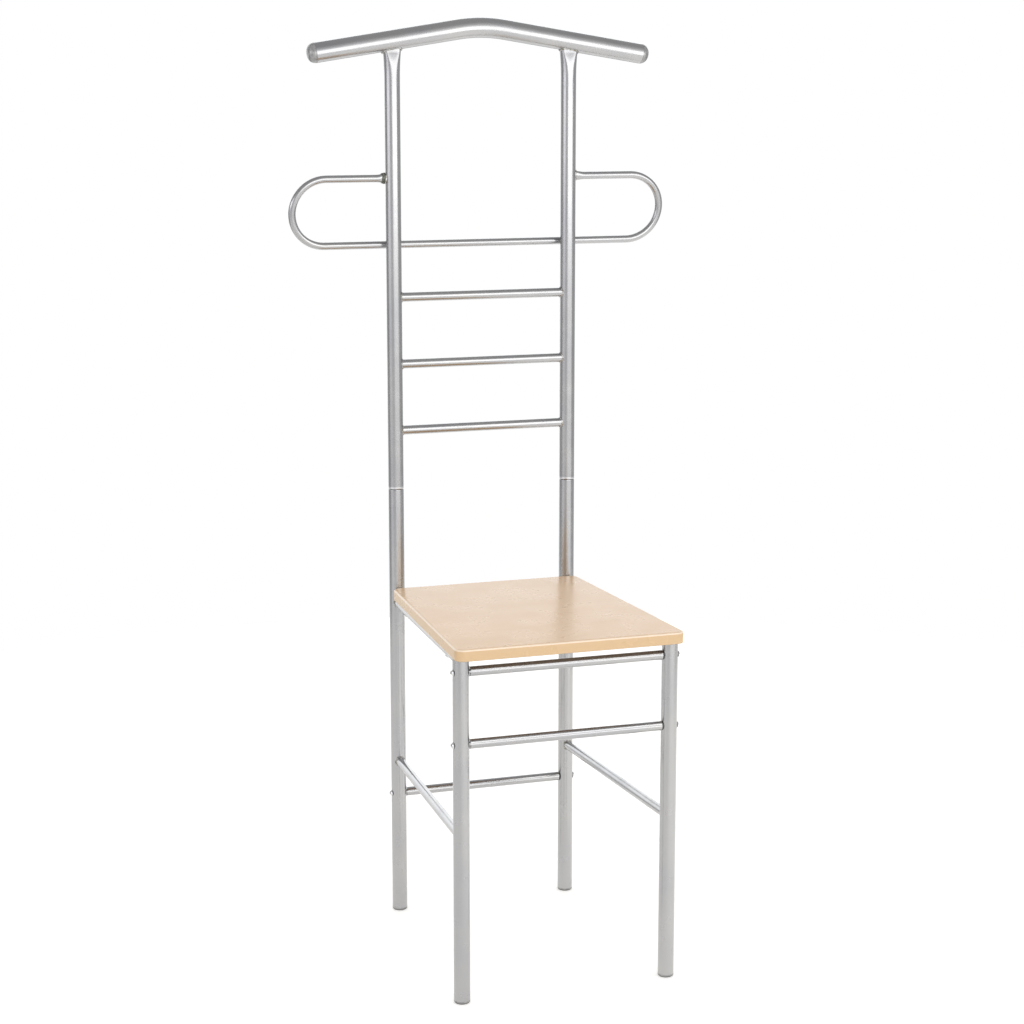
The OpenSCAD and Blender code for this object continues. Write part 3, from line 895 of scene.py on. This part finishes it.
def panel_mask(tree, azimuth, elevation, centre, half_width, low, high):
    """1 inside a soft-edged rectangle of directions, and 0 outside it."""
    soft = math.radians(PANEL_SOFTNESS)
    away = math_node(tree, "SUBTRACT", azimuth, math.radians(centre))
    away = math_node(tree, "WRAP", away, math.pi, -math.pi)
    away = math_node(tree, "ABSOLUTE", away)
    edge = math.radians(half_width)
    across = remap(tree, away, edge - soft, edge + soft, 1, 0)
    low, high = math.radians(low), math.radians(high)
    above = remap(tree, elevation, low - soft, low + soft, 0, 1)
    below = remap(tree, elevation, high - soft, high + soft, 1, 0)
    return math_node(tree, "MULTIPLY", across, math_node(tree, "MULTIPLY", above, below))


def make_studio():
    """A white background for the camera, and grey walls with soft panels for the reflections."""
    world = bpy.data.worlds.new("studio")
    bpy.context.scene.world = world
    world.use_nodes = True
    tree = world.node_tree
    tree.nodes.clear()
    direction = tree.nodes.new("ShaderNodeTexCoord").outputs["Generated"]
    forward = math_node(tree, "MULTIPLY", component(tree, direction, "Y"), -1.0)
    azimuth = math_node(tree, "ARCTAN2", component(tree, direction, "X"), forward)
    elevation = math_node(tree, "ARCSINE", component(tree, direction, "Z"))
    colour = STUDIO_DARK
    for *panel, glow in PANELS:
        colour = blend_colours(tree, panel_mask(tree, azimuth, elevation, *panel), colour, glow)
    reflected = tree.nodes.new("ShaderNodeBackground")
    tree.links.new(colour, reflected.inputs["Color"])
    seen = tree.nodes.new("ShaderNodeBackground")
    seen.inputs["Color"].default_value = (1, 1, 1, 1)
    ray = tree.nodes.new("ShaderNodeLightPath")
    choose = tree.nodes.new("ShaderNodeMixShader")
    tree.links.new(ray.outputs["Is Camera Ray"], choose.inputs[0])
    tree.links.new(reflected.outputs[0], choose.inputs[1])
    tree.links.new(seen.outputs[0], choose.inputs[2])
    output = tree.nodes.new("ShaderNodeOutputWorld")
    tree.links.new(choose.outputs[0], output.inputs["Surface"])


SUN_ENERGY = 0.8
SUN_SPREAD = math.radians(120)
SUN_TILT = (math.radians(12), math.radians(10), 0)


def make_top_light():
    """Broad, even light from above that keeps the shadows faint."""
    light = bpy.data.lights.new("top_light", "SUN")
    light.energy = SUN_ENERGY
    light.angle = SUN_SPREAD
    lamp = bpy.data.objects.new("top_light", light)
    lamp.rotation_euler = SUN_TILT
    lamp.visible_glossy = False
    bpy.context.scene.collection.objects.link(lamp)


CARD_AZIMUTH = math.radians(17)
CARD_DISTANCE = 1.0
CARD_WIDTH = 1.3
CARD_LOW, CARD_HIGH = 0.85, 1.54
CARD_GLOW = 2.4


def make_front_card():
    """A bright card close in front, seen only in reflections, so low rails mirror it high up."""
    out = Vector((math.sin(CARD_AZIMUTH), -math.cos(CARD_AZIMUTH), 0))
    left = out * CARD_DISTANCE - out.cross(Z_AXIS) * CARD_WIDTH / 2
    right = out * CARD_DISTANCE + out.cross(Z_AXIS) * CARD_WIDTH / 2
    build = bmesh.new()
    corners = ((left, CARD_LOW), (right, CARD_LOW), (right, CARD_HIGH), (left, CARD_HIGH))
    build.faces.new([build.verts.new(foot + Z_AXIS * z) for foot, z in corners])
    material, _, shader = new_material("card_white")
    shader.inputs["Base Color"].default_value = (0, 0, 0, 1)
    shader.inputs["Emission Color"].default_value = (1, 1, 1, 1)
    shader.inputs["Emission Strength"].default_value = CARD_GLOW
    card = add_studio_mesh("front_card", build, material)
    card.visible_camera = False
    card.visible_diffuse = False
    card.visible_shadow = False


CAMERA_PLACE = (-0.9992, -2.9315, 1.2209)
CAMERA_YAW = math.radians(18.541)
CAMERA_PITCH = math.radians(10.891)
CAMERA_LENS = 80.47


def make_camera():
    """A long lens left of the front, almost as high as the hanger bar, looking down a little."""
    camera = bpy.data.cameras.new("camera")
    camera.sensor_width = 36
    camera.lens = CAMERA_LENS
    camera.clip_start, camera.clip_end = 0.1, 50
    view = bpy.data.objects.new("camera", camera)
    view.location = CAMERA_PLACE
    view.rotation_euler = (math.pi / 2 - CAMERA_PITCH, 0, -CAMERA_YAW)
    bpy.context.scene.collection.objects.link(view)
    bpy.context.scene.camera = view


make_floor()
make_studio()
make_top_light()
make_front_card()
make_camera()
bpy.context.scene.view_settings.view_transform = "Standard"
